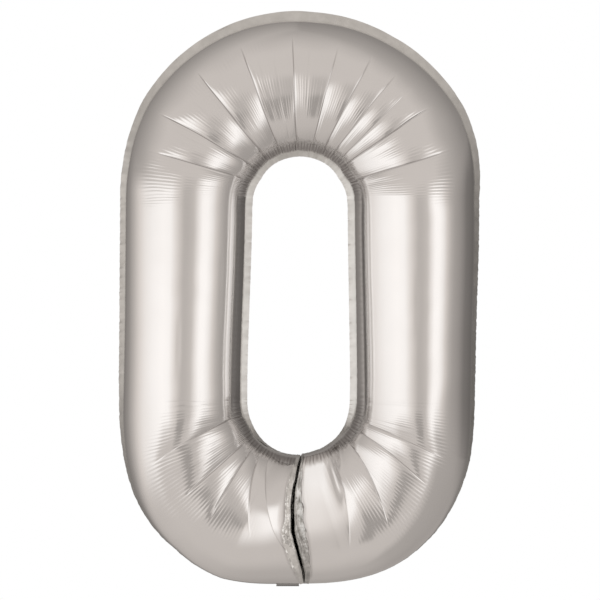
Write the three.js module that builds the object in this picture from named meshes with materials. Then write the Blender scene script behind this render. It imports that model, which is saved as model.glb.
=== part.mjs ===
import * as THREE from "three";

// Inflated foil balloon in the shape of the figure nought. Millimetres, +Z up, front towards -Y.
// Two die-cut films, front and back, are welded to each other along the outer edge, the inner edge
// and a radial line at the bottom, so the inflated chamber is a tube that runs once round the
// figure and closes on itself with two rounded ends. The origin is the crown of the outer margin,
// the point that the balloon hangs from.

// Films and welds
const FILM = 0.05; // one film
const WELDED = 2 * FILM; // two films welded into one
const CLEAR = 0.35; // free space kept between touching pieces
const MARGIN = 12; // width of the welded margin outside a weld line

// Weld lines round the top bend, measured from its centre
const TOP_OUTER = { side: 261.5, crown: 266.5 };
const TOP_INNER = { side: 83, crown: 75.5 };

// Weld lines round the bottom bends, measured from the crease: half widths, depth and squareness
const BOTTOM_OUTER = { left: 262, right: 250, down: 278, square: 2.6 };
const BOTTOM_INNER = { left: 91, right: 83, down: 90, square: 2.1 };

// Heights of the bends' centres, of the bottom weld, and where the two tube ends meet
const LEG_LENGTH = 304;
const TOP_BEND_Z = -(TOP_OUTER.crown + CLEAR + MARGIN);
const BOTTOM_BEND_Z = TOP_BEND_Z - LEG_LENGTH;
const BOTTOM_Z = BOTTOM_BEND_Z - BOTTOM_OUTER.down;
const CREASE_X = 2;

// The tube
const ROUND_RADIUS = 87.5; // radius that a straight stretch of the tube blows up to
const END_ANGLE = 10; // degrees of bend over which a tube end rounds off
const END_SQUARE = 2.3; // squareness of that rounding
const END_CLEAR = 1; // from the crease plane to each tube end

// Inflation tail, below the bottom weld beside the crease
const TAIL = { x: -18.5, width: 34, length: 74, corner: 6, holeRadius: 5.5, holeFromEnd: 24 };
const TAIL_DROP = 1.4; // from the bottom weld to the tail's fold line
const VALVE = { x: -23, width: 30, length: 118, mouthWidth: 26, mouthLength: 62 };

// Hang tabs on the outer margin, at these angles round the top bend
const TAB = { width: 15, length: 20, holeRadius: 2.5, holeFromEnd: 7 };
const TAB_ANGLES = { left: 114.5, right: 62 };

// How finely the curved films are divided
const BEND_STEP = 7.5; // degrees
const LEG_STEPS = 4;
const ROUND_STEPS = 10; // across a film, weld to weld
const END_STEPS = [0, 0.06, 0.2, 0.42, 0.7, 1]; // shares of END_ANGLE

const radians = THREE.MathUtils.degToRad;
const smooth = THREE.MathUtils.smoothstep;
const lerp = THREE.MathUtils.lerp;

function material(color, roughness, metalness) {
  return new THREE.MeshStandardMaterial({ color, roughness, metalness });
}

const silverFilm = material(0xc9c4c1, 0.12, 1);
const silverMargin = material(0xb4b1ad, 0.3, 1);
const clearFilm = material(0xe8ecec, 0.25, 0);

// ---- The figure's plan: one station for each cross-section of the tube ----

// Radius of a superellipse in the direction that lies angle radians from straight down.
function squaredRadius(line, angle) {
  const halfWidth = angle < 0 ? line.left : line.right;
  const across = Math.abs(Math.sin(angle) / halfWidth) ** line.square;
  const down = Math.abs(Math.cos(angle) / line.down) ** line.square;
  return (across + down) ** (-1 / line.square);
}

// A station of a bottom bend, degrees from straight down: negative on the left bend.
function bottomStation(side, degrees) {
  const angle = radians(side * degrees);
  const direction = new THREE.Vector2(Math.sin(angle), -Math.cos(angle));
  const centre = new THREE.Vector2(CREASE_X + side * END_CLEAR, BOTTOM_BEND_Z);
  const at = (line) =>
    direction.clone().multiplyScalar(squaredRadius(line, side < 0 ? angle - 1e-9 : angle)).add(centre);
  const fromEnd = Math.min(degrees / END_ANGLE, 1);
  return {
    outer: at(BOTTOM_OUTER),
    inner: at(BOTTOM_INNER),
    fullness: (1 - (1 - fromEnd) ** END_SQUARE) ** (1 / END_SQUARE),
    fold: lerp(86, 42, smooth(degrees, 35, 90)),
  };
}

// A station of the top bend: 180 degrees is its left end and 0 its right end.
function topStation(degrees) {
  const angle = radians(degrees);
  const direction = new THREE.Vector2(Math.cos(angle), Math.sin(angle));
  const centre = new THREE.Vector2(0, TOP_BEND_Z);
  const rise = Math.sin(angle) ** 2;
  const at = (line) =>
    direction.clone().multiplyScalar(lerp(line.side, line.crown, rise)).add(centre);
  return { outer: at(TOP_OUTER), inner: at(TOP_INNER), fullness: 1, fold: lerp(30, 6, rise) };
}

// A station of a straight leg: share 0 at its bottom and 1 at its top.
function legStation(side, share) {
  const low = bottomStation(side, 90);
  const high = topStation(side < 0 ? 180 : 0);
  const eased = smooth(share, 0, 1);
  const between = (a, b) => new THREE.Vector2(lerp(a.x, b.x, eased), lerp(a.y, b.y, share));
  return {
    outer: between(low.outer, high.outer),
    inner: between(low.inner, high.inner),
    fullness: 1,
    fold: lerp(low.fold, high.fold, eased),
  };
}

// Stations from the left tube end, clockwise over the top, to the right tube end.
function stations() {
  const bend = (side) => {
    const made = END_STEPS.map((share) => bottomStation(side, share * END_ANGLE));
    for (let a = 2 * BEND_STEP; a < 90; a += BEND_STEP) made.push(bottomStation(side, a));
    return made;
  };
  const leg = (side) =>
    Array.from({ length: LEG_STEPS + 1 }, (_, i) => legStation(side, i / LEG_STEPS));
  const top = [];
  for (let a = 180 - BEND_STEP; a > 0; a -= BEND_STEP) top.push(topStation(a));
  return [...bend(-1), ...leg(-1), ...top, ...leg(1).reverse(), ...bend(1).reverse()];
}

// ---- Thin films from a grid of points ----

function gridNormal(grid, i, j) {
  const last = grid.length - 1;
  const end = grid[0].length - 1;
  const along = grid[Math.min(i + 1, last)][j].clone().sub(grid[Math.max(i - 1, 0)][j]);
  const across = grid[i][Math.min(j + 1, end)].clone().sub(grid[i][Math.max(j - 1, 0)]);
  return along.cross(across).normalize();
}

// A closed film of even thickness whose middle surface passes through grid[i][j].
function filmGeometry(grid, thickness) {
  const columns = grid.length;
  const rows = grid[0].length;
  const positions = [];
  for (const side of [0.5, -0.5]) {
    for (let i = 0; i < columns; i++) {
      for (let j = 0; j < rows; j++) {
        const offset = gridNormal(grid, i, j).multiplyScalar(side * thickness);
        positions.push(...grid[i][j].clone().add(offset).toArray());
      }
    }
  }
  const index = [];
  const at = (layer, i, j) => layer * columns * rows + i * rows + j;
  const quad = (a, b, c, d) => index.push(a, b, c, a, c, d);
  for (let i = 0; i < columns - 1; i++) {
    for (let j = 0; j < rows - 1; j++) {
      quad(at(0, i, j), at(0, i + 1, j), at(0, i + 1, j + 1), at(0, i, j + 1));
      quad(at(1, i, j), at(1, i, j + 1), at(1, i + 1, j + 1), at(1, i + 1, j));
    }
    quad(at(0, i, 0), at(1, i, 0), at(1, i + 1, 0), at(0, i + 1, 0));
    quad(at(0, i, rows - 1), at(0, i + 1, rows - 1), at(1, i + 1, rows - 1), at(1, i, rows - 1));
  }
  for (let j = 0; j < rows - 1; j++) {
    quad(at(0, 0, j), at(0, 0, j + 1), at(1, 0, j + 1), at(1, 0, j));
    const end = columns - 1;
    quad(at(0, end, j), at(1, end, j), at(1, end, j + 1), at(0, end, j + 1));
  }
  return new THREE.BufferGeometry()
    .setAttribute("position", new THREE.Float32BufferAttribute(positions, 3))
    .setIndex(index);
}

function node(name, geometry, look) {
  const mesh = new THREE.Mesh(geometry, look);
  mesh.name = name;
  return mesh;
}

// Half the tube: facing is -1 for the front film and 1 for the back film.
function panel(name, facing) {
  const grid = stations().map(({ outer, inner, fullness }) => {
    const middle = outer.clone().add(inner).multiplyScalar(0.5);
    const reach = outer.clone().sub(middle);
    const depth = Math.sqrt(2 * ROUND_RADIUS ** 2 - reach.lengthSq()) * fullness;
    const points = Array.from({ length: ROUND_STEPS + 1 }, (_, j) => {
      const turn = (Math.PI * j) / ROUND_STEPS;
      const across = middle.clone().addScaledVector(reach, Math.cos(turn));
      const y = facing * (CLEAR / 2 + depth * Math.sin(turn));
      return new THREE.Vector3(across.x, y, across.y);
    });
    return facing < 0 ? points : points.reverse();
  });
  return node(name, filmGeometry(grid, FILM), silverFilm);
}

// The welded strip outside a weld line, bent back from the figure's plane by each station's fold.
function margin(name, used, edge, foldShare) {
  const grid = used.map((station) => {
    const weld = station[edge];
    const other = edge === "outer" ? station.inner : station.outer;
    const outward = weld.clone().sub(other).normalize();
    const fold = radians(station.fold * foldShare);
    const direction = new THREE.Vector3(
      outward.x * Math.cos(fold),
      Math.sin(fold),
      outward.y * Math.cos(fold),
    );
    const root = new THREE.Vector3(weld.x + outward.x * CLEAR, 0, weld.y + outward.y * CLEAR);
    const points = [0, MARGIN].map((reach) => root.clone().addScaledVector(direction, reach));
    return edge === "outer" ? points : points.reverse();
  });
  return node(name, filmGeometry(grid, WELDED), silverMargin);
}

function outerMargin() {
  const clearOfTail = TAIL.x - TAIL.width / 2 - 1.5;
  const all = stations();
  const first = all.findIndex((station) => station.outer.x < clearOfTail);
  const start = bottomStation(-1, 0);
  start.outer.x = clearOfTail;
  start.inner.x = clearOfTail;
  return margin("outer_seam_margin", [start, ...all.slice(first)], "outer", 1);
}

function innerMargin() {
  return margin("inner_seam_margin", stations(), "inner", 0.25);
}

// The welded strip along a tube end, standing forward in the gap between the two ends.
function endMargin(name, side) {
  const length = BOTTOM_OUTER.down - BOTTOM_INNER.down - 2 * CLEAR;
  const strip = node(name, new THREE.BoxGeometry(WELDED, MARGIN, length), silverMargin);
  const middleZ = BOTTOM_BEND_Z - (BOTTOM_OUTER.down + BOTTOM_INNER.down) / 2;
  strip.position.set(CREASE_X + (side * END_CLEAR) / 2, -CLEAR - MARGIN / 2, middleZ);
  return strip;
}

// ---- Valve, tail and tabs: flat films cut from a shape ----

// A flat strip from y = 0 to y = length with two round corners at its far end, and a hole if asked.
function stripShape(width, length, corner, hole) {
  const half = width / 2;
  const shape = new THREE.Shape();
  shape.moveTo(-half, 0);
  shape.lineTo(half, 0);
  shape.lineTo(half, length - corner);
  shape.absarc(half - corner, length - corner, corner, 0, Math.PI / 2, false);
  shape.absarc(-half + corner, length - corner, corner, Math.PI / 2, Math.PI, false);
  shape.closePath();
  if (hole) {
    const ring = new THREE.Path();
    ring.absarc(0, length - hole.fromEnd, hole.radius, 0, 2 * Math.PI, true);
    shape.holes.push(ring);
  }
  return shape;
}

function flatFilm(name, shape, thickness, look) {
  const options = { depth: thickness, bevelEnabled: false, curveSegments: 8 };
  return node(name, new THREE.ExtrudeGeometry(shape, options), look);
}

// The one-way valve inside the tube: two clear films standing up from the bottom weld.
function valve() {
  const group = new THREE.Group();
  const shape = stripShape(VALVE.width, VALVE.length, 4);
  for (const [name, y] of [["valve_film_front", -CLEAR], ["valve_film_back", CLEAR]]) {
    const film = flatFilm(name, shape, FILM, clearFilm);
    film.rotation.x = Math.PI / 2;
    film.position.y = y;
    group.add(film);
  }
  group.position.set(VALVE.x, 0, BOTTOM_Z + 1.5);
  return group;
}

// The tail, folded back flat under the tube: its strips run along +Y from the fold line. The plies
// are stacked downwards from the back film to the front film, whose hole takes the inflation straw.
function tail() {
  const group = new THREE.Group();
  const hole = { radius: TAIL.holeRadius, fromEnd: TAIL.holeFromEnd };
  const short = TAIL.length - VALVE.mouthLength;
  const mouthHole = { radius: TAIL.holeRadius, fromEnd: TAIL.holeFromEnd - short };
  const ply = (cut) => stripShape(TAIL.width, TAIL.length, TAIL.corner, cut);
  const mouth = (cut) => stripShape(VALVE.mouthWidth, VALVE.mouthLength, 3, cut);
  const stack = [
    ["tail_back_ply", ply(), silverFilm],
    ["valve_mouth_back", mouth(), clearFilm],
    ["valve_mouth_front", mouth(mouthHole), clearFilm],
    ["tail_front_ply", ply(hole), silverFilm],
  ];
  stack.forEach(([name, shape, look], i) => {
    const film = flatFilm(name, shape, FILM, look);
    film.position.z = (1.5 - i) * CLEAR - FILM / 2;
    group.add(film);
  });
  group.position.set(TAIL.x, 0, BOTTOM_Z - TAIL_DROP);
  return group;
}

// A hang tab, folded back from the outer margin: its strip runs along +Y from the fold line.
function hangTab(name, degrees) {
  const { outer, inner, fold } = topStation(degrees);
  const outward = outer.clone().sub(inner).normalize();
  const radial = CLEAR + MARGIN * Math.cos(radians(fold)) + CLEAR;
  const shape = stripShape(TAB.width, TAB.length, TAB.width / 2 - 0.5, {
    radius: TAB.holeRadius,
    fromEnd: TAB.holeFromEnd,
  });
  const tab = flatFilm(name, shape, WELDED, silverMargin);
  tab.position.z = -WELDED / 2;
  const group = new THREE.Group();
  group.add(tab);
  group.position.set(
    outer.x + outward.x * radial,
    MARGIN * Math.sin(radians(fold)),
    outer.y + outward.y * radial,
  );
  group.rotation.y = Math.PI / 2 - Math.atan2(outward.y, outward.x);
  return group;
}

const balloon = new THREE.Group();
balloon.add(
  panel("front_panel", -1),
  panel("back_panel", 1),
  outerMargin(),
  innerMargin(),
  endMargin("end_margin_left", -1),
  endMargin("end_margin_right", 1),
  valve(),
  tail(),
  hangTab("hang_tab_left", TAB_ANGLES.left),
  hangTab("hang_tab_right", TAB_ANGLES.right),
);

export default balloon;
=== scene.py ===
"""Looks of the foil number balloon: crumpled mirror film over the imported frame. Lengths are worked
out in millimetres and turned into metres when a mesh is made."""

import math
from typing import NamedTuple

import bpy
import numpy as np
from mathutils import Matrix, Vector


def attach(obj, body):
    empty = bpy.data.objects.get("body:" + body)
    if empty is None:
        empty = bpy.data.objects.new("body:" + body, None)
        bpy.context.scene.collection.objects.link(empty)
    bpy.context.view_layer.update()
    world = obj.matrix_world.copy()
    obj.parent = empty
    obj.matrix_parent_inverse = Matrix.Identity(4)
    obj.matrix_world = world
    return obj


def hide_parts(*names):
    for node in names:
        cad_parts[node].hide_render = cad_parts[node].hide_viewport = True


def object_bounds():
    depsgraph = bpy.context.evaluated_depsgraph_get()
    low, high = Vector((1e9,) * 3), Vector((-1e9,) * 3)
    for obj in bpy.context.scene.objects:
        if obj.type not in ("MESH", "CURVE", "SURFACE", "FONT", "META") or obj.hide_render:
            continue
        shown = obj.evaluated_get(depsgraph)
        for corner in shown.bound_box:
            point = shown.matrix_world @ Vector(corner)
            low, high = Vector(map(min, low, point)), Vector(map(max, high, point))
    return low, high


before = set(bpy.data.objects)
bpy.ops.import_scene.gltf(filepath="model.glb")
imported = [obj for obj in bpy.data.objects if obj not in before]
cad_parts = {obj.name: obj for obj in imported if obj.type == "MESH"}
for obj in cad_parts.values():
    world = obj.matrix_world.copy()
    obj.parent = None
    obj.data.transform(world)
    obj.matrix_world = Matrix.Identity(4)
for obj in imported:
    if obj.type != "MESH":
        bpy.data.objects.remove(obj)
cad_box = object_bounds()

FRONT = -1
BACK = 1

# ---------------------------------------------------------------- plan of the figure
# The same weld lines as the CAD panels, from the left tube end over the top to the right one.
# A station is a number along them. In the bends one station is one degree.
LEG_START = 90.0  # the left bottom bend ends and the left leg starts
TOP_START = 190.0  # the left leg ends and the top bend starts
TOP_END = 370.0  # the top bend ends and the right leg starts
LEG_END = 470.0  # the right leg ends and the right bottom bend starts
STATIONS = 560.0
LEG_STATIONS = TOP_START - LEG_START
STATION_LENGTH = 3.1  # usual length of one station, in millimetres
TOP_OUTER = (261.5, 266.5)  # half width, rise
TOP_INNER = (83.0, 75.5)
BOTTOM_OUTER = (262.0, 250.0, 278.0, 2.6)  # left, right, down, squareness
BOTTOM_INNER = (91.0, 83.0, 90.0, 2.1)
TOP_Z = -278.85
LEG = 304.0
BOTTOM_Z = TOP_Z - LEG
CREASE_X = 2.0
END_CLEAR = 1.0  # from the crease's middle to each tube end in the flat pattern
END_LEFT = 0.3  # what is left of it where the two ends press together
TINY = 1e-9

# The tube's section, in millimetres
ROUND_RADIUS = 87.5
LEAN = 0.033  # how far the tube's crest leans towards its outer weld
THIN_TOP = 11.0  # how much thinner the tube is at the crown
THIN_END = 12.0  # and at both tube ends
RIGHT_END_THIN = 17.0  # and, besides, close to the right one
RIGHT_END_SPAN = 30.0  # stations over which that starts

# How tightly the film turns into the slit between the tube ends: by cosine of the turn in front
END_ROUNDING = 13.0
SLIT_ROUNDING = [(-1.0, 2.0), (-0.8, 2.2), (-0.3, 3.4), (0.1, 4.2), (0.5, 2.6), (1.0, 2.0)]
SLIT_SQUARENESS = 2.6
PULL_SPAN = 70.0  # how far from the slit the film is pulled sideways with it
END_SPAN = 3.0

# The front's section near the tube ends is squarer on the hole side
LEFT_PINCH = 0.7
RIGHT_PINCH = 11.0
PINCH_FROM = 10.0
PINCH_TO = 64.0

# The line where the tube ends meet, (x, z) from the hole down to the bottom weld
CREASE_LINE = np.array(
    [
        (1.5, -667.0),
        (-4.5, -692.0),
        (-9.5, -714.0),
        (-12.0, -738.0),
        (-11.2, -775.0),
        (-6.5, -797.0),
        (-1.5, -816.0),
        (4.5, -838.0),
        (6.5, -861.0),
    ]
)

# How far the outer weld stands out from the flat pattern's line, by station
WIDER = [
    (0, -2),
    (8, -1),
    (24, 4),
    (40, -1),
    (60, 3.5),
    (84, 4.5),
    (130, 2),
    (200, 0),
    (222, 4),
    (262, 0.5),
    (285, -2),
    (310, 0.5),
    (342, 7.5),
    (352, 6),
    (370, 0),
    (400, 2),
    (455, 5),
    (490, 4),
    (508, -2),
    (520, -4.5),
    (560, -2),
]
# How far the inner weld stands in towards the hole from its line, by station
CLOSER = [
    (0, 6),
    (40, 4.5),
    (70, 3),
    (100, 2.5),
    (185, 3),
    (215, 9.5),
    (280, 8),
    (345, 9.5),
    (375, 3),
    (460, 2.5),
    (500, 4.5),
    (530, 9.5),
    (545, 10),
    (560, 7.5),
]


def smooth(x, low, high):
    t = np.clip((x - low) / (high - low), 0.0, 1.0)
    return t * t * (3 - 2 * t)


def mix(a, b, t):
    return a + (b - a) * t


def at(x, stops):
    """Value at x between (place, value) pairs, straight from one to the next."""
    places, values = zip(*stops)
    return np.interp(x, places, values)


def side_of(q):
    """-1 on the left half of the figure, 1 on the right half."""
    return np.where(q < STATIONS / 2, -1.0, 1.0)


def from_tube_end(q):
    """Stations to the nearer tube end."""
    return np.minimum(q, STATIONS - q)


def squared_radius(shape, angle):
    """Radius of a superellipse at an angle from straight down, positive to the right."""
    left, right, down, square = shape
    half = np.where(angle < 0, left, right)
    across = np.abs(np.sin(angle) / half) ** square
    return (across + np.abs(np.cos(angle) / down) ** square) ** (-1 / square)


def bottom_point(shape, side, degrees):
    angle = side * np.radians(degrees)
    radius = squared_radius(shape, np.where(side < 0, angle - TINY, angle + TINY))
    x = CREASE_X + side * END_CLEAR + radius * np.sin(angle)
    return np.stack([x, BOTTOM_Z - radius * np.cos(angle)], -1)


def top_point(shape, degrees):
    angle = np.radians(degrees)
    radius = mix(shape[0], shape[1], np.sin(angle) ** 2)
    return np.stack([radius * np.cos(angle), TOP_Z + radius * np.sin(angle)], -1)


def weld(q, top, bottom):
    """Point of a weld line at each station."""
    q = np.asarray(q, float)
    from_end = from_tube_end(q)
    low = bottom_point(bottom, side_of(q), np.minimum(from_end, LEG_START))
    high = top_point(top, np.clip(TOP_END - q, 0.0, 180.0))
    share = np.clip((from_end - LEG_START) / LEG_STATIONS, 0.0, 1.0)
    x = mix(low[..., 0], high[..., 0], smooth(share, 0, 1))
    z = mix(low[..., 1], high[..., 1], share)
    return np.stack([x, z], -1)


def welds(q):
    """Outer and inner weld lines of the stretched film, a few millimetres off the flat pattern's."""
    outer = weld(q, TOP_OUTER, BOTTOM_OUTER)
    inner = weld(q, TOP_INNER, BOTTOM_INNER)
    outward = (outer - inner) / np.linalg.norm(outer - inner, axis=-1, keepdims=True)
    return outer + outward * at(q, WIDER)[..., None], inner - outward * at(q, CLOSER)[..., None]


def thinning(q):
    """How much thinner the tube is where it bends, in millimetres of half depth."""
    top = THIN_TOP * np.sin(np.radians(np.clip(q, TOP_START, TOP_END) - TOP_START)) ** 2
    ends = THIN_END * np.cos(np.radians(np.minimum(from_tube_end(q), LEG_START))) ** 2
    right_end = 1 - smooth(STATIONS - q, 1, RIGHT_END_SPAN)
    return top + ends + RIGHT_END_THIN * right_end


def bend_centre(q):
    x = np.where((q > TOP_START) & (q < TOP_END), 0.0, CREASE_X)
    z = np.where((q > TOP_START) & (q < TOP_END), TOP_Z, BOTTOM_Z)
    return np.stack([x, z], -1)


def bends(q, at_top, at_bottom):
    """1 in the bends, 0 on the legs. Each pair is how far the change reaches into leg and bend."""
    leg, bend = at_top
    top = smooth(q, TOP_START - leg, TOP_START + bend) * (1 - smooth(q, TOP_END - bend, TOP_END + leg))
    leg, bend = at_bottom
    left = 1 - smooth(q, LEG_START - bend, LEG_START + leg)
    return np.clip(top + left + smooth(q, LEG_END - leg, LEG_END + bend), 0, 1)


def in_bend(q):
    """1 inside the bends, 0 on the legs, blending where they meet."""
    return bends(q, (12, 16), (12, 16))


def crease_x(z):
    """The crease line's x at a height."""
    return np.interp(-z, -CREASE_LINE[:, 1], CREASE_LINE[:, 0])


# ---------------------------------------------------------------- folds of the film
class Fold(NamedTuple):
    """A crease nearly across the tube, between two ends at a station and a cosine of the turn. The
    turn goes from 0 at the outer weld to 180 degrees at the inner weld."""

    outer_q: float
    outer_c: float
    inner_q: float
    inner_c: float
    depth: float  # of its soft flanks, in millimetres
    flank: float  # how far they reach
    groove: float  # depth of the sharp line between them


TOP_FOLDS = [
    Fold(206.5, 0.52, 207.5, -0.86, 0.35, 3.5, 0.40),
    Fold(220.5, 0.72, 222.5, -0.86, 0.45, 3.5, 0.50),
    Fold(240.5, 0.72, 239.0, -0.86, 0.50, 3.5, 0.55),
    Fold(258.6, 0.70, 256.5, -0.86, 0.40, 3.0, 0.45),
    Fold(277.6, 0.72, 276.6, -0.86, 0.30, 2.5, 0.42),
    Fold(294.5, 0.62, 294.0, -0.86, 0.45, 3.0, 0.35),
    Fold(307.5, 0.62, 307.0, -0.86, 0.40, 3.0, 0.42),
    Fold(318.5, 0.62, 318.0, -0.84, 0.35, 3.0, 0.35),
    Fold(326.0, 0.45, 327.5, -0.84, 0.25, 2.5, 0.28),
    Fold(335.7, 0.66, 335.5, -0.86, 0.45, 3.5, 0.50),
    Fold(353.4, 0.50, 354.0, -0.86, 0.40, 3.5, 0.48),
]
BOTTOM_FOLDS = [
    Fold(69.9, 0.02, 74.4, -0.72, 0.45, 4.0, 0.45),
    Fold(50.4, 0.30, 52.2, -0.74, 0.55, 4.5, 0.42),
    Fold(37.6, 0.25, 43.5, -0.74, 0.50, 4.0, 0.42),
    Fold(24.0, 0.00, 35.0, -0.74, 0.40, 3.5, 0.35),
    Fold(16.5, -0.22, 26.0, -0.72, 0.35, 3.5, 0.30),
    Fold(491.8, 0.38, 490.0, -0.70, 0.40, 4.0, 0.32),
    Fold(503.8, 0.42, 499.4, -0.72, 0.55, 4.5, 0.50),
    Fold(523.1, 0.18, 513.5, -0.76, 0.55, 4.5, 0.50),
    Fold(536.7, -0.14, 531.7, -0.72, 0.40, 3.5, 0.35),
]
# Creases along the legs: first and last station, cosine of the turn, depth in millimetres
LEG_CREASES = [
    (98, 136, 0.04, 0.28),
    (402, 444, 0.03, 0.32),
    (120, 168, -0.62, 0.2),
    (385, 425, -0.66, 0.2),
]
CREASE_FADE = 14  # stations over which such a crease starts and ends

# How strongly each gore bellies, from the left leg round to the right one, and along each bottom
# bend from the leg to the tube end: rise at its middle as a share of its width
TOP_BELLIES = [0.020, 0.038, 0.056, 0.050, 0.016, 0.022, 0.034, 0.042, 0.040, 0.042, 0.046, 0.022]
LEFT_BELLIES = [0.024, 0.046, 0.050, 0.044, 0.034, 0.028]
RIGHT_BELLIES = [0.024, 0.044, 0.050, 0.050, 0.030]
GORE_INTO_LEG = 14.0  # the gores beside the legs run this many stations into them
GORE_REACH = 0.6  # cosine of the turn where such a gore ends
LOWEST = -0.5  # level of a gore at its folds, as a share of its rise

# Width of the film strip welded along each tube end, by cosine of the turn from the hole (-1) to
# the outer weld (1)
LEFT_STRIP = [
    (-1.0, 5),
    (-0.83, 9),
    (-0.6, 10),
    (-0.36, 10.5),
    (-0.2, 10),
    (-0.04, 11),
    (0.18, 19),
    (0.4, 17.5),
    (0.6, 15),
    (0.87, 8),
    (1.0, 5),
]
RIGHT_STRIP = [
    (-1.0, 4),
    (-0.83, 5),
    (-0.6, 9),
    (-0.36, 11),
    (-0.2, 15),
    (-0.04, 14),
    (0.18, 17),
    (0.4, 16),
    (0.6, 14),
    (0.87, 9),
    (1.0, 5),
]


def straight_line(station, outer_c=1.0):
    """A line across the tube at one station, with no crease."""
    return Fold(station, outer_c, station, -1.0, 0.0, 0.0, 0.0)


def fold_station(fold, cosine):
    slope = (fold.outer_q - fold.inner_q) / (fold.outer_c - fold.inner_c)
    return fold.inner_q + slope * (np.clip(cosine, -0.95, 0.75) - fold.inner_c)


def random_folds(count, low, high, seed):
    """Small creases between the drawn ones."""
    made = []
    generator = np.random.default_rng(seed)
    for q in np.sort(generator.uniform(low, high, count)):
        reach = generator.uniform(-0.35, 0.6)
        inner_q = q + generator.normal(0, 0.5)
        inner_c = generator.uniform(-0.93, -0.8)
        depth = generator.uniform(0.03, 0.16)
        flank = generator.uniform(1.2, 2.6)
        made.append(Fold(q, reach, inner_q, inner_c, depth, flank, generator.uniform(0.0, 0.06)))
    return made


def wave(x, period, generator, octaves=4):
    """Smooth noise of one variable with a main period."""
    value = np.zeros_like(x)
    for octave in range(octaves):
        turns = x * (2 ** (0.5 * octave)) / period
        value = value + np.sin(2 * np.pi * turns + generator.uniform(0, 2 * np.pi)) / (1 + 0.6 * octave)
    return value / octaves


# ---------------------------------------------------------------- one panel of film
LEG_GRID = 2.0  # stations by which the bends' fine columns run into the legs
LEG_COARSER = 2.2  # how much wider the columns of the legs are
CROWDING = 0.6  # how far columns crowd towards the folds
WAVE_UNIT = 3.0  # a station's length in the slow waves
TOOTH_UNIT = 1.5  # and in the teeth of the gathered ring, measured at the hole
WOBBLE = 0.12  # how far a fold line wanders, in stations
GROOVE_WIDTH = 0.75
PUCKER_HEIGHT = 0.55
TOOTH_HEIGHT = 0.28
LINE_SHADE = 0.68
SOFT_SHADE = 0.16
STRIP_EDGE_SHADE = 0.45
TOOTH_SEED = 77


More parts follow.
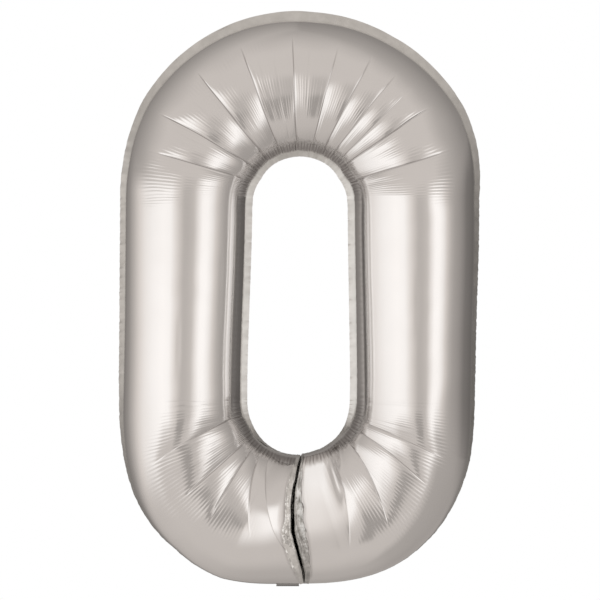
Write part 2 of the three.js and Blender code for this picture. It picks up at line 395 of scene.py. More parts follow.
class Film:
    """One panel as a grid of stations by turns, with folds pressed into it."""

    def __init__(self, facing, folds, minor, turn, generator, step=None, q=None):
        self.facing = facing
        self.generator = generator
        self.folds = folds
        self.minor = minor
        self.left = [f for f in folds if f.outer_q < LEG_START]
        self.top = [f for f in folds if TOP_START < f.outer_q < TOP_END]
        self.right = [f for f in folds if f.outer_q > LEG_END]
        self.turn = turn[None, :]
        self.cosine = np.cos(self.turn)
        self.q = self.columns(step) if q is None else q
        self.build()

    def columns(self, step):
        """Stations of each column at each turn: columns run along the folds."""
        left_leg = [straight_line(LEG_START + LEG_GRID), straight_line(TOP_START)]
        right_leg = [straight_line(TOP_END), straight_line(LEG_END - LEG_GRID)]
        lines = [straight_line(0.0)] + self.left + left_leg + self.top + right_leg
        lines += self.right + [straight_line(STATIONS)]
        made = []
        for line, after in zip(lines[:-1], lines[1:]):
            start = fold_station(line, self.cosine)
            end = fold_station(after, self.cosine)
            on_leg = line == left_leg[0] or line == right_leg[0]
            width = step * (LEG_COARSER if on_leg else 1.0)
            count = max(3, int(round(float(np.mean(end - start)) / width)))
            share = np.linspace(0, 1, count + 1)[:-1]
            if not on_leg:
                share = share - CROWDING / (2 * np.pi) * np.sin(2 * np.pi * share)
            made.append(start + (end - start) * share[:, None])
        made.append(np.full((1, self.cosine.shape[1]), STATIONS))
        return np.concatenate(made, 0)

    def build(self):
        q = self.q
        c = self.cosine
        outer, inner = welds(q)
        reach = (outer - inner) / 2
        half = np.linalg.norm(reach, axis=-1)
        depth = np.sqrt(2 * ROUND_RADIUS**2 - half**2) - thinning(q)
        plan = (outer + inner) / 2 + reach * c[..., None]
        centre = bend_centre(q)
        self.metric = self.station_lengths(plan, centre)
        plan = centre + (plan - centre) * self.mitre()[..., None]
        self.from_end = from_tube_end(q) * self.metric
        y = depth * self.section() * (1 + LEAN * c) * self.fullness()
        pull = (1 - smooth(self.from_end, 0, PULL_SPAN)) * (crease_x(plan[..., 1]) - CREASE_X)
        near_end = 1 - smooth(self.from_end, 0, END_SPAN)
        x = plan[..., 0] + pull - side_of(q) * near_end * (END_CLEAR - END_LEFT)
        base = np.stack([x, self.facing * y, plan[..., 1]], -1)
        self.normal = self.normals(base)
        self.points = base + self.normal * self.relief()[..., None]

    def station_lengths(self, plan, centre):
        """Length of one station at each point, in millimetres."""
        beyond = np.maximum(plan[..., 1] - TOP_Z, 0) + np.minimum(plan[..., 1] - BOTTOM_Z, 0)
        radius = np.hypot(plan[..., 0] - centre[..., 0], beyond)
        return mix(LEG / LEG_STATIONS, np.radians(1) * radius, in_bend(self.q))

    def fullness(self):
        """Share of the tube's depth that is there, 0 at its very end and 1 past the rounding."""
        rounding = at(self.cosine, SLIT_ROUNDING) if self.facing == FRONT else END_ROUNDING
        short = 1 - np.clip(self.from_end / rounding, 0, 1)
        return (1 - short**SLIT_SQUARENESS) ** (1 / SLIT_SQUARENESS)

    def section(self):
        """Height of the tube's section, 0 to 1; the front is squarer on the hole side by its ends."""
        q = self.q
        c = self.cosine
        most = np.where(q < STATIONS / 2, LEFT_PINCH, RIGHT_PINCH) if self.facing == FRONT else 0.0
        power = 2 + most * (1 - smooth(self.from_end, PINCH_FROM, PINCH_TO))
        squared = (1 - np.minimum(-np.minimum(c, 0), 1) ** power) ** (1 / power)
        return np.where(c < 0, squared, np.sin(self.turn) + 0 * q)

    def mitre(self):
        """Each gore between two folds is straight, so its plan radius dips between them."""
        q = self.q
        c = self.cosine
        strength = smooth(-c, -0.55, 0.25)
        factor = np.ones_like(q * c)
        for folds in (self.top, self.left, self.right):
            for before, after in zip(folds[:-1], folds[1:]):
                low = fold_station(before, c)
                high = fold_station(after, c)
                span = np.radians(high - low)
                inside = (q >= low) & (q <= high)
                share = np.clip((q - low) / (high - low), 0, 1)
                chord = np.cos(span / 2) / np.cos((share - 0.5) * span)
                factor = np.where(inside, mix(1.0, chord, strength), factor)
        return factor

    def bellies(self):
        """Rise of each gore between its two folds, in millimetres."""
        q = self.q
        c = self.cosine
        rise = np.zeros_like(q * c)
        places = (
            TOP_START - GORE_INTO_LEG,
            TOP_END + GORE_INTO_LEG,
            LEG_START + GORE_INTO_LEG,
            LEG_END - GORE_INTO_LEG,
        )
        legs = [straight_line(place, GORE_REACH) for place in places]
        tube_ends = [straight_line(place, GORE_REACH) for place in (0.0, STATIONS)]
        rows = (
            (legs[:1] + self.top + legs[1:2], TOP_BELLIES),
            (legs[2:3] + self.left[::-1] + tube_ends[:1], LEFT_BELLIES),
            (legs[3:] + self.right + tube_ends[1:], RIGHT_BELLIES),
        )
        for lines, shares in rows:
            for one, other, share in zip(lines[:-1], lines[1:], shares):
                a = fold_station(one, c)
                b = fold_station(other, c)
                low = np.minimum(a, b)
                high = np.maximum(a, b)
                width = (high - low) * self.metric
                f = np.clip((q - low) / (high - low), 0, 1)
                inside = (q >= low) & (q <= high)
                reach = smooth(max(one.outer_c, other.outer_c) - c, -0.05, 0.45)
                gather = 1 - smooth(-c, 0.78, 1.0)
                profile = 4 * f * (1 - f) + LOWEST
                if one in legs or other in legs:
                    leg_is_low = (one in legs) == (one.outer_q < other.outer_q)
                    t = 1 - f if leg_is_low else f
                    profile = 6.75 * t * (1 - t) ** 2 + LOWEST * (1 - smooth(t, 0, 1))
                rise = np.where(inside, profile * share * width * reach * gather, rise)
        return rise

    def normals(self, points):
        along = np.gradient(points, axis=0)
        across = np.gradient(points, axis=1)
        normal = np.cross(along, across)
        length = np.linalg.norm(normal, axis=-1, keepdims=True)
        normal = normal / np.maximum(length, TINY)
        outward = self.facing * normal[..., 1:2]
        middle = normal.shape[1] // 2
        return normal * np.sign(np.mean(outward[:, middle]))

    def beside(self, fold):
        """Distance from a fold's line, in millimetres, positive towards higher stations."""
        wobble = WOBBLE * np.sin(6 * self.cosine + fold.outer_q)
        return (self.q - fold_station(fold, self.cosine) - wobble) * self.metric

    def press_folds(self, offset):
        """Presses each fold in as a sharp line between soft flanks, one steeper than the other."""
        c = self.cosine
        wander = wave(self.q * WAVE_UNIT + 0 * c, 37.0, self.generator) * 0.25
        for fold in self.folds + self.minor:
            s = self.beside(fold)
            tail = smooth(fold.outer_c + wander * 0.3 - c, -0.05, 0.30)
            start = smooth(fold.outer_c + wander * 0.2 - c, -0.03, 0.08)
            head = smooth(c - fold.inner_c, -0.12, 0.1)
            above, below = (0.75, 1.25) if int(fold.outer_q) % 2 else (1.2, 0.8)
            flanks = np.exp(-np.abs(s) / (fold.flank * np.where(s > 0, above, below)))
            offset -= tail * mix(0.55, 1.0, head) * fold.depth * flanks
            offset -= start * head * fold.groove * np.exp(-((s / GROOVE_WIDTH) ** 2))

    def press_leg_creases(self, offset):
        """Presses in long soft creases down the legs."""
        q = self.q
        for low, high, across, deep in LEG_CREASES:
            along = smooth(q, low, low + CREASE_FADE) * (1 - smooth(q, high - CREASE_FADE, high))
            gap = (self.turn - math.acos(across)) * ROUND_RADIUS
            offset -= along * deep * (np.exp(-((gap / 0.8) ** 2)) + 0.5 * np.exp(-np.abs(gap) / 5))

    def relief(self):
        """How far the film stands out (+) or is pressed in (-), in millimetres."""
        q = self.q
        c = self.cosine
        generator = self.generator
        offset = np.zeros_like(q * c)
        self.press_folds(offset)
        offset += self.bellies()
        self.press_leg_creases(offset)
        # puckers and teeth gathered into the inner weld
        gather = smooth(-c, 0.78, 0.97)
        legs = mix(0.35, 1.0, in_bend(q))
        offset += gather * legs * PUCKER_HEIGHT * wave(q * WAVE_UNIT + 4 * c, 13.0, generator)
        ring = smooth(-c, 0.70, 0.84) * (1 - smooth(-c, 0.96, 1.0)) * in_bend(q)
        offset += ring * TOOTH_HEIGHT * wave(q * TOOTH_UNIT + 0 * c, 6.0, generator)
        # slow unevenness of the whole film
        offset += 0.30 * wave(q * WAVE_UNIT + 0 * c, 190.0, generator) * np.sin(self.turn)
        offset += 0.20 * wave(q * WAVE_UNIT + 60 * c, 120.0, generator) * np.sin(self.turn)
        quiet = smooth(self.from_end, 2, 14)
        return offset * quiet * smooth(np.sin(self.turn) + 0 * q, 0.0, 0.12)

    def ripple(self):
        """Strength of the fine comb ripples: in patches beyond the crest, faint inside it, strong in
        the gathered ring."""
        q = self.q
        c = self.cosine
        patch = 0.5 + 0.5 * np.clip(1.8 * wave(q * WAVE_UNIT + 22 * c, 46.0, self.generator), -1, 1)
        near_bend = bends(q, (14, 6), (6, 18))
        crown = 1 - 0.75 * smooth(q, 262, 272) * (1 - smooth(q, 302, 312))
        low_end = smooth(from_tube_end(q), 18, 40)
        outer = smooth(c, -0.1, 0.15) * (1 - smooth(c, 0.5, 0.8)) * mix(0.35, 1.0, patch) * crown
        middle = 0.5 * (1 - smooth(c, -0.1, 0.2)) * mix(0.4, 1.0, patch)
        teeth = smooth(-c, 0.74, 0.88) * (1 - smooth(-c, 0.97, 1.0))
        return (outer + middle + 2.2 * teeth) * near_bend * low_end + 0.04

    def gathered_shade(self):
        """Shade of the toothed ring by the inner weld, with a soft one outside it."""
        c = self.cosine
        q = self.q
        generator = np.random.default_rng(TOOTH_SEED)
        teeth = 0.5 + 0.5 * np.clip(1.6 * wave(q * TOOTH_UNIT + 0 * c, 5.0, generator), -1, 1)
        toothed = mix(1.0, mix(0.45, 1.15, teeth), in_bend(q))
        weaker_on_legs = mix(0.35, 1.0, in_bend(q))
        start = -0.86 + 0.05 * (teeth - 0.5)
        off_weld = 1 - smooth(-c, 0.965, 0.995)
        ring = smooth(start - c, -0.03, 0.07) * off_weld * weaker_on_legs * toothed
        return np.maximum(ring, SOFT_SHADE * smooth(-c, 0.25, 0.85) * in_bend(q) * off_weld)

    def strip_edge_shade(self):
        """Shade along the free edge of the strips by the tube ends."""
        c = self.cosine
        strip = np.where(self.q < STATIONS / 2, at(c, LEFT_STRIP), at(c, RIGHT_STRIP))
        edge = np.exp(-(((self.from_end - strip - 1.2) / 1.6) ** 2))
        return STRIP_EDGE_SHADE * edge * smooth(c, -0.85, -0.7) * (1 - smooth(c, 0.85, 0.95))

    def painted_shade(self):
        """Painted shade in the film's colour, 0 to 1, where the film is gathered or folded and sees
        mostly itself.
        """
        c = self.cosine
        dark = self.gathered_shade()
        if self.facing == FRONT:
            dark = np.maximum(dark, self.strip_edge_shade())
        # painted shade: a dark line along each fold
        for fold in self.folds + self.minor:
            s = self.beside(fold) + 0.6
            along = smooth(fold.outer_c - c, -0.04, 0.26) * smooth(c - fold.inner_c, -0.14, 0.02)
            strength = LINE_SHADE * min(1.0, fold.groove / 0.45)
            dark = np.maximum(dark, strength * along * np.exp(-((s / 0.8) ** 2)))
        return dark


def grid_mesh(name, points, uv=None, masks=None, flip=False):
    """A sheet of quads through a grid of points in millimetres."""
    n, m = points.shape[:2]
    index = np.arange(n * m).reshape(n, m)
    quads = np.stack([index[:-1, :-1], index[1:, :-1], index[1:, 1:], index[:-1, 1:]], -1).reshape(-1, 4)
    if flip:
        quads = quads[:, ::-1]
    mesh = bpy.data.meshes.new(name)
    mesh.vertices.add(n * m)
    mesh.vertices.foreach_set("co", (points.reshape(-1, 3) * 0.001).astype(np.float32).ravel())
    mesh.loops.add(quads.size)
    mesh.loops.foreach_set("vertex_index", quads.ravel().astype(np.int32))
    mesh.polygons.add(len(quads))
    mesh.polygons.foreach_set("loop_start", np.arange(0, quads.size, 4, dtype=np.int32))
    mesh.update(calc_edges=True)
    mesh.polygons.foreach_set("use_smooth", np.ones(len(quads), bool))
    if uv is not None:
        layer = mesh.uv_layers.new(name="film")
        layer.data.foreach_set("uv", uv.reshape(-1, 2)[quads.ravel()].astype(np.float32).ravel())
    for key, values in (masks or {}).items():
        attribute = mesh.attributes.new(key, "FLOAT", "POINT")
        attribute.data.foreach_set("value", values.reshape(-1).astype(np.float32))
    mesh.validate()
    obj = bpy.data.objects.new(name, mesh)
    bpy.context.scene.collection.objects.link(obj)
    return obj


def film_object(name, film):
    girth = film.turn * ROUND_RADIUS * 0.99 + 0 * film.q
    along = film.q * STATION_LENGTH + 0 * girth
    uv = np.stack([along, girth], -1) * 0.001
    # gather is painted shade for the film's colour; ripple drives the comb-ripple bumps
    masks = {"ripple": film.ripple(), "gather": film.painted_shade()}
    return grid_mesh(name, film.points, uv, masks, flip=film.facing == BACK)


# ---------------------------------------------------------------- materials
COMB_PITCH = 0.0042
COMB_HEIGHT = 0.00014
COMB_DRIFT = 8.0
SILVER = ((0.915, 0.91, 0.905), (0.945, 0.94, 0.937))
# painted shade: the colour the film is darkened towards where it is gathered or folded
PAINTED_SHADE_SILVER = (0.36, 0.34, 0.33, 1)
WELD_GREY = ((0.70, 0.70, 0.68), (0.83, 0.83, 0.81))
VALVE_TINT = ((0.86, 0.88, 0.88), (0.95, 0.96, 0.96))
FLOOR_TINT = ((0.80, 0.775, 0.745), (0.82, 0.795, 0.765))


def new_material(name):
    material = bpy.data.materials.new(name)
    material.use_nodes = True
    nodes = material.node_tree.nodes
    shader = nodes["Principled BSDF"]
    return material, nodes, material.node_tree.links, shader


def noise(nodes, links, vector, scale, detail=3.0):
    node = nodes.new("ShaderNodeTexNoise")
    node.inputs["Scale"].default_value = scale
    node.inputs["Detail"].default_value = detail
    if vector is not None:
        links.new(vector, node.inputs["Vector"])
    return node


def mapping(nodes, links, source, scale):
    node = nodes.new("ShaderNodeMapping")
    node.inputs["Scale"].default_value = scale
    links.new(source, node.inputs["Vector"])
    return node.outputs["Vector"]


def math_node(nodes, links, operation, a, b=None):
    node = nodes.new("ShaderNodeMath")
    node.operation = operation
    for socket, value in zip(node.inputs, (a, b)):
        if value is None:
            continue
        if isinstance(value, (int, float)):
            socket.default_value = value
        else:
            links.new(value, socket)
    return node.outputs[0]


def bump(nodes, links, height, distance, strength=1.0, normal=None):
    node = nodes.new("ShaderNodeBump")
    node.inputs["Distance"].default_value = distance
    if isinstance(strength, (int, float)):
        node.inputs["Strength"].default_value = strength
    else:
        links.new(strength, node.inputs["Strength"])
    links.new(height, node.inputs["Height"])
    if normal is not None:
        links.new(normal, node.inputs["Normal"])
    return node.outputs["Normal"]


def ramp(nodes, links, value, stops):
    node = nodes.new("ShaderNodeValToRGB")
    elements = node.color_ramp.elements
    while len(elements) < len(stops):
        elements.new(0.5)
    for element, (position, color) in zip(elements, stops):
        element.position = position
        element.color = (*color, 1)
    links.new(value, node.inputs["Fac"])
    return node.outputs["Color"]


def attribute(nodes, name):
    node = nodes.new("ShaderNodeAttribute")
    node.attribute_name = name
    return node.outputs["Fac"]


def two_tones(nodes, links, source, socket, low, high, last=0.7):
    """Drives a socket from one colour to another by a noise texture."""
    links.new(ramp(nodes, links, source.outputs["Fac"], [(0.3, low), (last, high)]), socket)


def grey(value):
    return (value, value, value)


def film_map(nodes):
    """Coordinates along the film, in metres: along the figure and round the tube."""
    uv = nodes.new("ShaderNodeUVMap")
    uv.uv_map = "film"
    return uv.outputs["UV"]


def comb_ripples(nodes, links, on_film):
    """Fine parallel ripples across the tube, as strong as the film's ripple attribute says."""
    split = nodes.new("ShaderNodeSeparateXYZ")
    links.new(on_film, split.inputs[0])
    drift = noise(nodes, links, mapping(nodes, links, on_film, (35, 16, 1)), 1.0, 1.0)
    swell = noise(nodes, links, mapping(nodes, links, on_film, (110, 22, 1)), 1.0, 1.0)
    phase = math_node(nodes, links, "MULTIPLY", split.outputs["X"], 2 * math.pi / COMB_PITCH)
    shift = math_node(nodes, links, "MULTIPLY", drift.outputs["Fac"], COMB_DRIFT)
    comb = math_node(nodes, links, "SINE", math_node(nodes, links, "ADD", phase, shift))
    height = math_node(nodes, links, "MULTIPLY", comb, swell.outputs["Fac"])
    return bump(nodes, links, height, COMB_HEIGHT, attribute(nodes, "ripple"))


def silver_film():
    material, nodes, links, shader = new_material("mirror_film")
    place = nodes.new("ShaderNodeTexCoord").outputs["Object"]
    ripples = comb_ripples(nodes, links, film_map(nodes))
    skin = noise(nodes, links, place, 40, 3)
    crinkle = bump(nodes, links, skin.outputs["Fac"], 0.00012, 0.35, ripples)
    links.new(crinkle, shader.inputs["Normal"])
    # painted shade: the gather attribute darkens the film's colour in its folds, its toothed ring and
    # along the strips' edges
    dark = nodes.new("ShaderNodeMix")
    dark.data_type = "RGBA"
    dark.inputs["B"].default_value = PAINTED_SHADE_SILVER
    links.new(attribute(nodes, "gather"), dark.inputs["Factor"])
    two_tones(nodes, links, noise(nodes, links, place, 7, 3), dark.inputs["A"], *SILVER)
    links.new(dark.outputs["Result"], shader.inputs["Base Color"])
    rough = noise(nodes, links, place, 30, 4)
    two_tones(nodes, links, rough, shader.inputs["Roughness"], grey(0.10), grey(0.15), 0.75)
    shader.inputs["Metallic"].default_value = 1.0
    return material


def welded_film():
    material, nodes, links, shader = new_material("welded_margin")
    place = nodes.new("ShaderNodeTexCoord").outputs["Object"]
    pucker = noise(nodes, links, mapping(nodes, links, film_map(nodes), (60, 25, 1)), 1.0, 2)
    first = bump(nodes, links, pucker.outputs["Fac"], 0.0009, 0.5)
    grain = noise(nodes, links, place, 500, 2)
    second = bump(nodes, links, grain.outputs["Fac"], 0.00005, 0.4, first)
    links.new(second, shader.inputs["Normal"])
    two_tones(nodes, links, noise(nodes, links, place, 60, 4), shader.inputs["Base Color"], *WELD_GREY)
    two_tones(nodes, links, pucker, shader.inputs["Roughness"], grey(0.26), grey(0.38), 0.75)
    shader.inputs["Metallic"].default_value = 1.0
    return material


def crumpled_film(name, low, high):
    """The margin along a tube end: mirror film scuffed by many small creases, low to high bright."""
    material, nodes, links, shader = new_material(name)
    place = nodes.new("ShaderNodeTexCoord").outputs["Object"]
    coarse = noise(nodes, links, place, 150, 1.5)
    first = bump(nodes, links, coarse.outputs["Fac"], 0.0016, 0.6)
    fine = noise(nodes, links, place, 420, 1)
    second = bump(nodes, links, fine.outputs["Fac"], 0.0002, 0.4, first)
    links.new(second, shader.inputs["Normal"])
    tone = noise(nodes, links, place, 90, 3)
    shades = ((low, low, 0.97 * low), (high, high, 0.98 * high))
    two_tones(nodes, links, tone, shader.inputs["Base Color"], *shades)
    two_tones(nodes, links, coarse, shader.inputs["Roughness"], grey(0.12), grey(0.22), 0.75)
    shader.inputs["Metallic"].default_value = 1.0
    return material


def clear_film():
    material, nodes, links, shader = new_material("valve_film")
    place = nodes.new("ShaderNodeTexCoord").outputs["Object"]
    haze = noise(nodes, links, place, 180, 4)
    two_tones(nodes, links, haze, shader.inputs["Base Color"], *VALVE_TINT)
    two_tones(nodes, links, haze, shader.inputs["Roughness"], grey(0.2), grey(0.4))
    links.new(bump(nodes, links, haze.outputs["Fac"], 0.0003, 0.4), shader.inputs["Normal"])
    shader.inputs["Alpha"].default_value = 0.5
    shader.inputs["IOR"].default_value = 1.5
    return material


MIRROR = silver_film()
WELDED = welded_film()
STRIP = crumpled_film("crumpled_margin", 0.78, 0.96)
# painted shade: the right strip is the same crumpled film as the left with a darker colour
PAINTED_SHADE_STRIP = crumpled_film("shaded_crumpled_margin", 0.40, 0.72)
CLEAR = clear_film()


def finish_piece(obj, material, body, slot, *nodes):
    obj.data.materials.append(material)
    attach(obj, body)
    if nodes:
        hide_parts(*nodes)
    return obj


def dress(material, *names):
    """Gives CAD nodes that stay a better material."""
    for name in names:
        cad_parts[name].data.materials.clear()
        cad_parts[name].data.materials.append(material)


# ---------------------------------------------------------------- the two panels
FRONT_SEED = 8
BACK_SEED = 18
BACK_SHIFT = 3.0  # the back's folds are the front's, seen from behind, this many stations on


def minor_folds(counts, first_seed):
    """Small creases in the top bend and in the left and right bottom bends."""
    ranges = ((196, 366), (20, 92), (468, 540))
    made = []
    for index, (count, (low, high)) in enumerate(zip(counts, ranges)):
        made += random_folds(count, low, high, first_seed + index)
    return made


def from_behind(fold):
    outer_q = STATIONS - fold.outer_q + BACK_SHIFT
    return fold._replace(outer_q=outer_q, inner_q=STATIONS - fold.inner_q + BACK_SHIFT)


def panel(name, facing, folds, minor, rows, step, seed):
    turn = np.linspace(0, np.pi, rows)
    film = Film(facing, folds, minor, turn, np.random.default_rng(seed), step=step)
    return film_object(name, film)


front_folds = sorted(BOTTOM_FOLDS + TOP_FOLDS, key=lambda fold: fold.outer_q)
front_film = panel("front_film", FRONT, front_folds, minor_folds((95, 30, 30), 3), 96, 0.42, FRONT_SEED)
finish_piece(front_film, MIRROR, "chamber", "silver_film", "front_panel")

back_folds = [from_behind(fold) for fold in front_folds][::-1]
back_film = panel("back_film", BACK, back_folds, minor_folds((80, 26, 26), 13), 72, 0.6, BACK_SEED)
finish_piece(back_film, MIRROR, "chamber", "silver_film", "back_panel")


# ---------------------------------------------------------------- welded margins
# How far each margin is turned back, in degrees, its width and the height of its frill, by station
OUTER_TURN = [
    (7, 86),
    (40, 84),
    (70, 66),
    (100, 50),
    (140, 46),
    (185, 46),
    (215, 36),
    (245, 18),
    (280, 6),
    (320, 14),
    (345, 30),
    (372, 50),
    (420, 60),
    (470, 64),
    (500, 74),
    (525, 84),
    (560, 86),
]
OUTER_WIDTH = [(7, 12), (220, 12), (280, 14), (330, 12), (560, 12)]
OUTER_FRILL = [
    (7, 0.5),
    (60, 0.7),
    (100, 0.9),
    (190, 0.9),
    (240, 0.25),
    (320, 0.25),
    (360, 0.9),
    (400, 0.9),
    (560, 0.5),
]
INNER_TURN = [
    (0, 84),
    (20, 82),
    (40, 66),
    (65, 34),
    (90, 20),
    (190, 14),
    (280, 10),
    (370, 14),
    (470, 20),
    (495, 34),
    (520, 66),
    (540, 82),
    (560, 84),
]
INNER_WIDTH = [(200, 8.8), (240, 7.0), (320, 7.0), (360, 8.8)]
INNER_FRILL = [
    (0, 0.4),
    (60, 0.5),
    (110, 0.8),
    (180, 0.8),
    (220, 0.2),
    (340, 0.2),
    (380, 0.8),
    (450, 0.8),
    (560, 0.4),
]
MARGIN_ROWS = 7
MARGIN_STEP = 0.5
CLEAR_OF_TAIL = 7.0  # the outer margin starts here, beside the tail


def margin_points(q, edge, turned, width, frill, generator):
    """The strip beyond a weld line, bent back by turned degrees and puckered towards its free edge."""
    outer, inner = welds(q)
    root = outer if edge == "outer" else inner
    outward = (outer - inner) if edge == "outer" else (inner - outer)
    outward = outward / np.linalg.norm(outward, axis=-1, keepdims=True)
    reach = np.linspace(0, 1, MARGIN_ROWS)[None, :]
    angle = np.radians(turned)[:, None]
    along = q * STATION_LENGTH
    swing = (wave(along, 17.0, generator) + 0.6 * wave(along, 7.5, generator))[:, None]
    sway = swing * (frill[:, None] * reach**1.5)
    out = width[:, None] * reach * np.cos(angle) - sway * np.sin(angle)
    back_by = width[:, None] * reach * np.sin(angle) + sway * np.cos(angle)
    near_end = 1 - smooth(from_tube_end(q) * STATION_LENGTH, 0, PULL_SPAN)
    pull = (near_end * (crease_x(root[:, 1]) - CREASE_X))[:, None]
    x = root[:, 0:1] + outward[:, 0:1] * out + pull
    z = root[:, 1:2] + outward[:, 1:2] * out
    points = np.stack([x, back_by, z], -1)
    uv = np.stack([along[:, None] + 0 * reach, width[:, None] * reach], -1) * 0.001
    return points, uv


def outer_margin():
    generator = np.random.default_rng(31)
    q = np.arange(CLEAR_OF_TAIL, STATIONS + 0.01, MARGIN_STEP)
    width = at(q, OUTER_WIDTH) + 0.4 * wave(q * STATION_LENGTH, 60.0, generator)
    points, uv = margin_points(q, "outer", at(q, OUTER_TURN), width, at(q, OUTER_FRILL), generator)
    return grid_mesh("outer_margin_film", points, uv)


def inner_margin():
    generator = np.random.default_rng(32)
    q = np.arange(0.0, STATIONS + 0.01, MARGIN_STEP)
    width = at(q, INNER_WIDTH) + 0.3 * wave(q * STATION_LENGTH, 23.0, generator)
    points, uv = margin_points(q, "inner", at(q, INNER_TURN), width, at(q, INNER_FRILL), generator)
    return grid_mesh("inner_margin_film", points, uv, flip=True)


finish_piece(outer_margin(), WELDED, "chamber", "silver_margin", "outer_seam_margin")
finish_piece(inner_margin(), WELDED, "chamber", "silver_margin", "inner_seam_margin")


# ---------------------------------------------------------------- crumpled strips along the crease
STRIP_ROWS = 150
STRIP_COLUMNS = 26
TUBE_MIDDLE = (BOTTOM_OUTER[2] + BOTTOM_INNER[2]) / 2  # distance from the bottom bend's centre
TUBE_HALF = (BOTTOM_OUTER[2] - BOTTOM_INNER[2]) / 2
STRIP_LIFT = 1.2  # mean height of the creases over the film
STRIP_CRUMPLE = 0.95
STRIP_CURL = 1.6  # rise of the free edge
STRIP_CLEAR = 0.2  # least height over the film
LINING_REACH = 1.6  # how far the lining crosses the slit
LINING_Y = -0.6
RELIEF_DRAWS = 20  # random draws that one film's relief takes


def crumple(u, v, generator, shortest=9.0, longest=34.0, waves=7):
    """Creased noise from -1 to 1 of two lengths in millimetres."""
    height = np.zeros_like(u)
    for _ in range(waves):
        length = generator.uniform(shortest, longest)
        heading = generator.uniform(0, math.pi)
        turns = (u * math.cos(heading) + v * math.sin(heading)) / length + generator.uniform()
        height = height + np.abs(2 * (turns % 1.0) - 1) * 2 - 1
    return height / math.sqrt(waves)


def with_lining(points):
    """Two more rows at the slit: the strip's root crosses the gap at the figure's middle plane."""
    root = points[:1].copy()
    root[..., 1] = LINING_Y
    far = root.copy()
    far[..., 0] += LINING_REACH
    return np.concatenate([far, root, points], 0)


def film_under_strip(turn, q):
    """The front film under a strip, without the small creases, and with unevenness of its own."""
    generator = np.random.default_rng(FRONT_SEED)
    generator.uniform(size=RELIEF_DRAWS)
    return Film(FRONT, front_folds, [], turn, generator, q=q)


def end_strip(name, side, widths, seed):
    """The crumpled margin along a tube end, lying over the film and turned into the slit."""
    generator = np.random.default_rng(seed)
    turn = np.linspace(0.05 * np.pi, 0.985 * np.pi, STRIP_ROWS)
    c = np.cos(turn)[None, :]
    radius = TUBE_MIDDLE + TUBE_HALF * c
    width = at(c, widths) * (1 + 0.12 * wave(radius, 26.0, generator))
    share = np.linspace(0.02, 1, STRIP_COLUMNS)[:, None]
    reach = share * width / (np.radians(1) * radius)
    film = film_under_strip(turn, reach if side < 0 else STATIONS - reach[::-1])
    share = share if side < 0 else share[::-1]
    across = share * width
    creased = STRIP_LIFT + STRIP_CRUMPLE * crumple(across, radius + 0 * across, generator)
    curl = STRIP_CURL * smooth(share, 0.72, 1.0) * (0.6 + 0.8 * wave(radius, 15.0, generator))
    lift = creased * smooth(across, 0.5, 4.0) + STRIP_CLEAR + curl
    points = film.points + film.normal * lift[..., None]
    if side < 0:
        points = with_lining(points)
        across = np.concatenate([across[:1], across[:1], across], 0)
    uv = np.stack([radius + 0 * across, across], -1) * 0.001
    return grid_mesh(name, points, uv)


for name, side, widths, seed, material in (
    ("left", -1, LEFT_STRIP, 41, STRIP),
    ("right", 1, RIGHT_STRIP, 42, PAINTED_SHADE_STRIP),
):
    strip = end_strip(f"end_strip_{name}", side, widths, seed)
    finish_piece(strip, material, "chamber", "silver_margin", f"end_margin_{name}")

dress(WELDED, "hang_tab_left", "hang_tab_right")
dress(MIRROR, "tail_front_ply", "tail_back_ply")
dress(CLEAR, "valve_film_front", "valve_film_back", "valve_mouth_front", "valve_mouth_back")


# ---------------------------------------------------------------- floor, light and camera
# In metres
LOWEST_Z = cad_box[0][2]
MIDDLE_Z = (cad_box[0][2] + cad_box[1][2]) / 2
FLOOR_RADIUS = 3.2
FLOOR_Z = LOWEST_Z - 0.3572
FLOOR_SIDES = 96
CAMERA_DISTANCE = 5.0
SENSOR_WIDTH = 36.0
VIEW_WIDTH = 0.9  # what the picture takes in at the figure, in metres
VIEW_Z = MIDDLE_Z - 0.00207


def fade_out(nodes, links, place, first, last):
    """1 within a distance of the origin, falling smoothly to 0 at another."""
    distance = nodes.new("ShaderNodeVectorMath")
    distance.operation = "LENGTH"
    links.new(place, distance.inputs[0])
    fade = nodes.new("ShaderNodeMapRange")
    fade.interpolation_type = "SMOOTHSTEP"
    fade.inputs["From Min"].default_value = first
    fade.inputs["From Max"].default_value = last
    fade.inputs["To Min"].default_value = 1.0
    fade.inputs["To Max"].default_value = 0.0
    links.new(distance.outputs["Value"], fade.inputs["Value"])
    return fade.outputs["Result"]


def pale_floor():
    """A pale round floor well below the figure; it fades out towards its rim."""
    ring = [
        (FLOOR_RADIUS * math.cos(a), FLOOR_RADIUS * math.sin(a), 0.0)
        for a in np.linspace(0, 2 * math.pi, FLOOR_SIDES, endpoint=False)
    ]
    mesh = bpy.data.meshes.new("floor")
    mesh.from_pydata(ring, [], [list(range(FLOOR_SIDES))])
    obj = bpy.data.objects.new("floor", mesh)
    obj.location.z = FLOOR_Z
    bpy.context.scene.collection.objects.link(obj)
    material, nodes, links, shader = new_material("pale_floor")
    place = nodes.new("ShaderNodeTexCoord").outputs["Object"]
    two_tones(nodes, links, noise(nodes, links, place, 3, 2), shader.inputs["Base Color"], *FLOOR_TINT)
    shader.inputs["Roughness"].default_value = 0.9
    alpha = fade_out(nodes, links, place, 0.35 * FLOOR_RADIUS, 0.95 * FLOOR_RADIUS)
    links.new(alpha, shader.inputs["Alpha"])
    obj.data.materials.append(material)
    obj.visible_glossy = False


def overhead_light():
    """Soft light from above for the floor; the film doesn't show it."""
    lamp = bpy.data.lights.new("overhead", "SUN")
    lamp.energy = 1.0
    lamp.angle = math.radians(90)
    obj = bpy.data.objects.new("overhead", lamp)
    obj.visible_glossy = False
    bpy.context.scene.collection.objects.link(obj)


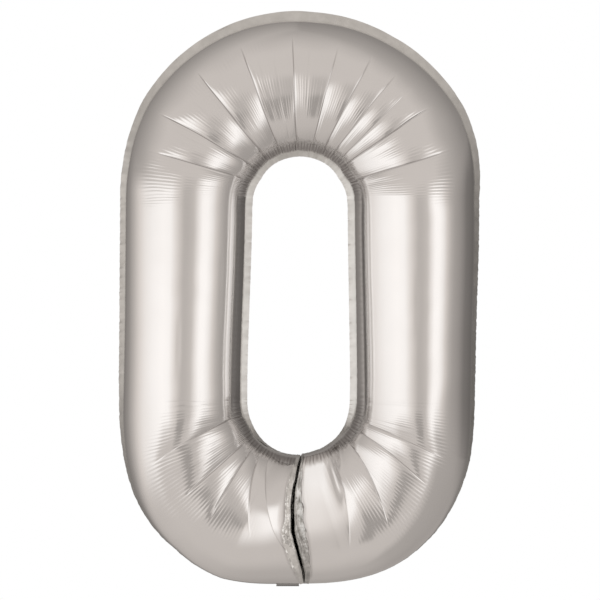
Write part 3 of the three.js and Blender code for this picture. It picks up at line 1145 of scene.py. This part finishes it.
# The studio as the film sees it, as (degrees, brightness). ROOM goes by azimuth from the camera
# side, positive to the right: a softbox on each side of the camera with a grey gap between, and
# darkening walls behind them. LOW_ROOM is the same below the horizon. HIGH_ROOM goes by angle from
# the camera side, above the horizon.
FILM_REFLECTS = 0.925
ROOM = [
    (-180, 0.46),
    (-150, 0.48),
    (-130, 0.55),
    (-110, 0.68),
    (-92, 0.81),
    (-76, 0.89),
    (-58, 0.94),
    (-36, 0.97),
    (-22, 0.955),
    (-13, 0.86),
    (-5, 0.77),
    (2, 0.69),
    (9, 0.69),
    (19, 0.73),
    (27, 0.88),
    (34, 0.97),
    (43, 0.97),
    (51, 0.91),
    (59, 0.79),
    (68, 0.68),
    (78, 0.61),
    (95, 0.55),
    (114, 0.44),
    (145, 0.38),
    (180, 0.44),
]
LOW_ROOM = [
    (-180, 0.62),
    (-150, 0.66),
    (-100, 0.71),
    (-40, 0.735),
    (34, 0.73),
    (52, 0.63),
    (120, 0.60),
    (180, 0.62),
]
HIGH_ROOM = [
    (0, 0.75),
    (55, 0.745),
    (72, 0.70),
    (88, 0.645),
    (102, 0.605),
    (118, 0.57),
    (138, 0.53),
    (201, 0.46),
]
CAMERA_STAND = 0.595
UNDERFOOT = 0.66


def light(value):
    """Linear colour that looks this bright, 0 to 1, once the film has mirrored it. Greys are warmer."""
    linear = ((value + 0.055) / 1.055) ** 2.4 / FILM_REFLECTS
    warm = 1.0 - 0.5 * float(smooth(value, 0.8, 0.95))
    return (linear * (1 + 0.075 * warm), linear * (1 - 0.008 * warm), linear * (1 - 0.067 * warm))


def studio_colour(nodes, links, direction):
    """Colour of the studio in each direction."""
    split = nodes.new("ShaderNodeSeparateXYZ")
    links.new(direction, split.inputs[0])
    x, y, z = split.outputs

    def m(operation, a, b=None):
        return math_node(nodes, links, operation, a, b)

    def step(value, low, high):
        node = nodes.new("ShaderNodeMapRange")
        node.interpolation_type = "SMOOTHSTEP"
        node.inputs["From Min"].default_value = low
        node.inputs["From Max"].default_value = high
        links.new(value, node.inputs["Value"])
        return node.outputs["Result"]

    def window(value, low, high, soft):
        rise = step(value, low - soft, low + soft)
        fall = step(value, high - soft, high + soft)
        return m("MULTIPLY", rise, m("SUBTRACT", 1.0, fall))

    def sweep(value, low, high, stops):
        share = m("DIVIDE", m("SUBTRACT", value, low), high - low)
        return ramp(nodes, links, share, [((at - low) / (high - low), light(v)) for at, v in stops])

    def over(below, above, factor):
        node = nodes.new("ShaderNodeMix")
        node.data_type = "RGBA"
        links.new(factor, node.inputs["Factor"])
        for socket, value in (("A", below), ("B", above)):
            if isinstance(value, tuple):
                node.inputs[socket].default_value = (*value, 1)
            else:
                links.new(value, node.inputs[socket])
        return node.outputs["Result"]

    azimuth = m("DEGREES", m("ARCTAN2", x, m("MULTIPLY", y, -1.0)))
    elevation = m("DEGREES", m("ARCSINE", z))
    from_front = m("DEGREES", m("ARCCOSINE", m("MULTIPLY", y, -1.0)))
    room = sweep(azimuth, -180, 180, ROOM)
    # the floor starts nearer the horizon on the right and on the left of the middle
    sooner = m("MULTIPLY", step(azimuth, 30, 47), 15.0)
    sooner = m("ADD", sooner, m("MULTIPLY", window(azimuth, -42, 8, 10), 10.0))
    below = m("SUBTRACT", sooner, elevation)
    room = over(room, sweep(azimuth, -180, 180, LOW_ROOM), step(below, 16, 42))
    room = over(room, light(UNDERFOOT), step(m("MULTIPLY", elevation, -1.0), 48, 88))
    # the ceiling darkens sooner to the right
    shift = m("MULTIPLY", step(azimuth, -50, -10), 11.0)
    shift = m("ADD", shift, m("MULTIPLY", step(azimuth, 15, 60), 10.0))
    ceiling = sweep(m("ADD", from_front, shift), 0, 201, HIGH_ROOM)
    room = over(room, ceiling, step(elevation, 4, 15))
    stand = m("MULTIPLY", window(azimuth, -3, 10.5, 2.0), window(elevation, -38, -11, 4.0))
    return over(room, light(CAMERA_STAND), stand)


def studio_world():
    """White behind the object; the studio only shows in what the film reflects."""
    world = bpy.data.worlds.new("studio")
    bpy.context.scene.world = world
    world.use_nodes = True
    nodes = world.node_tree.nodes
    links = world.node_tree.links
    nodes.clear()
    direction = nodes.new("ShaderNodeTexCoord").outputs["Generated"]
    studio = nodes.new("ShaderNodeBackground")
    links.new(studio_colour(nodes, links, direction), studio.inputs["Color"])
    white = nodes.new("ShaderNodeBackground")
    white.inputs["Color"].default_value = (1, 1, 1, 1)
    choose = nodes.new("ShaderNodeMixShader")
    links.new(nodes.new("ShaderNodeLightPath").outputs["Is Camera Ray"], choose.inputs["Fac"])
    links.new(studio.outputs[0], choose.inputs[1])
    links.new(white.outputs[0], choose.inputs[2])
    output = nodes.new("ShaderNodeOutputWorld")
    links.new(choose.outputs[0], output.inputs["Surface"])


def front_camera():
    camera = bpy.data.cameras.new("camera")
    camera.sensor_width = SENSOR_WIDTH
    camera.lens = SENSOR_WIDTH * CAMERA_DISTANCE / VIEW_WIDTH
    camera.clip_end = 50
    obj = bpy.data.objects.new("camera", camera)
    obj.location = (0.0, -CAMERA_DISTANCE, VIEW_Z)
    obj.rotation_euler = (math.radians(90), 0, 0)
    bpy.context.scene.collection.objects.link(obj)
    bpy.context.scene.camera = obj


pale_floor()
overhead_light()
studio_world()
front_camera()
bpy.context.scene.view_settings.view_transform = "Standard"
